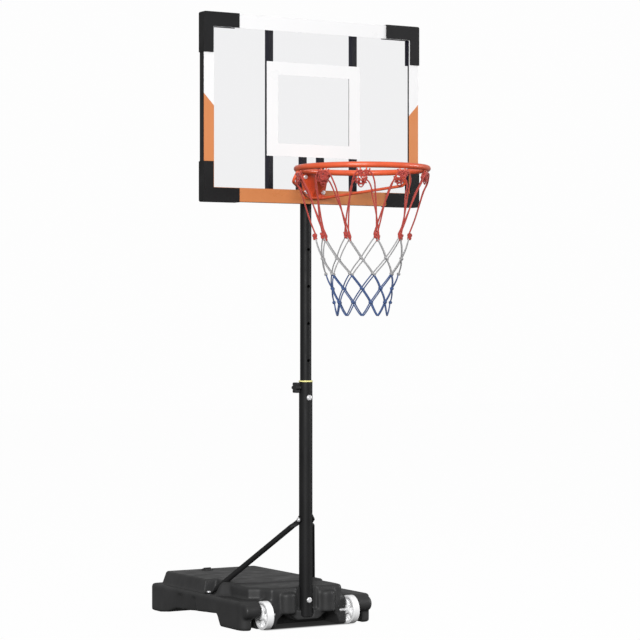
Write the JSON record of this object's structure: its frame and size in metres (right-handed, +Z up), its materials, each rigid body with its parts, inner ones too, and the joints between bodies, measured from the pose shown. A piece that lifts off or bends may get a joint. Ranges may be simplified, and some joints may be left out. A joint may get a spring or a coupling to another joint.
{
  "type": "portable basketball hoop",
  "caption": "Free-standing hoop on a fillable wheeled base: two-part telescoping pole with braces, clear backboard in a steel frame, orange rim with bent support wire and a cord net.",
  "frame": {"origin": "on the floor, in the middle of the whole object's footprint box", "axes": "+Z up, the board and rim face -Y, +X to the right of someone facing the board from the front"},
  "size_m": [0.694, 1.038, 1.694],
  "materials": {
    "base_plastic": "blow-moulded polyethylene, fine pebble grain, satin",
    "water": "clear liquid",
    "cap_plastic": "moulded, satin",
    "seal_rubber": "matt",
    "wheel_plastic": "silver-white, glossy",
    "zinc_steel": "zinc plated",
    "pole_paint": "black powder coat, satin",
    "frame_paint": "black powder coat, satin",
    "bush_plastic": "yellow, satin",
    "knob_plastic": "moulded, fine grain",
    "clear_panel": "clear, polished",
    "print_white": "printed film, gloss",
    "print_orange": "printed film, gloss",
    "guard_plastic": "moulded, satin",
    "rim_paint": "orange powder coat, gloss",
    "net_cord": "braided cord: red, white and blue bands"
  },
  "bodies": {
    "base": {"base_tank": "base_plastic", "water_ballast": "water", "cap_seal": "seal_rubber", "wheel_axle_left": "zinc_steel", "wheel_axle_right": "zinc_steel", "lower_pole": "pole_paint", "pole_foot_plug": "cap_plastic", "pole_bush": "bush_plastic", "height_bolt": "zinc_steel", "height_nut": "zinc_steel", "foot_bolt": "zinc_steel", "clamp_nut": "pole_paint", "brace_left": "pole_paint", "brace_right": "pole_paint", "brace_top_screws": "zinc_steel", "brace_foot_screws": "zinc_steel"},
    "fill_cap": {"fill_cap": "cap_plastic"},
    "wheel_left": {"wheel_left": "wheel_plastic"},
    "wheel_right": {"wheel_right": "wheel_plastic"},
    "clamp_knob": {"clamp_knob": "knob_plastic", "clamp_stud": "zinc_steel"},
    "mast": {"backboard_panel": "clear_panel", "border_print_orange": "print_orange", "border_print_white": "print_white", "corner_guard_bottom_left": "guard_plastic", "corner_guard_bottom_right": "guard_plastic", "corner_guard_top_left": "guard_plastic", "corner_guard_top_right": "guard_plastic", "frame_crossbar": "frame_paint", "frame_rail_bottom": "frame_paint", "frame_rail_left": "frame_paint", "frame_rail_right": "frame_paint", "frame_rail_top": "frame_paint", "mast_bolts": "zinc_steel", "mast_nuts": "zinc_steel", "mast_plate": "frame_paint", "net": "net_cord", "net_hooks": "rim_paint", "pole_top_cap": "cap_plastic", "rim_bolts": "zinc_steel", "rim_bracket": "rim_paint", "rim_nuts": "zinc_steel", "rim_ring": "rim_paint", "rim_wire_left": "rim_paint", "rim_wire_right": "rim_paint", "strut_long_left": "frame_paint", "strut_long_right": "frame_paint", "strut_short_left": "frame_paint", "strut_short_right": "frame_paint", "target_print": "print_white", "upper_pole": "pole_paint"}
  },
  "joints": [
    {"name": "height", "type": "slide", "parent": "base", "child": "mast", "axis": [0, 0, 1], "range_m": [-0.414, 0]},
    {"name": "wheel_left_spin", "type": "hinge", "parent": "base", "child": "wheel_left", "pos_m": [-0.138, -0.042, 0.04], "axis": [1, 0, 0], "continuous": true},
    {"name": "wheel_right_spin", "type": "hinge", "parent": "base", "child": "wheel_right", "pos_m": [0.138, -0.042, 0.04], "axis": [1, 0, 0], "continuous": true},
    {"name": "clamp_turn", "type": "hinge", "parent": "base", "child": "clamp_knob", "pos_m": [-0.03, -0.033, 0.668], "axis": [-1, 0, 0], "range_deg": [0, 720]},
    {"name": "fill_cap_pull", "type": "slide", "parent": "base", "child": "fill_cap", "axis": [0, 0, 1], "range_m": [0, 0.03]}
  ]
}
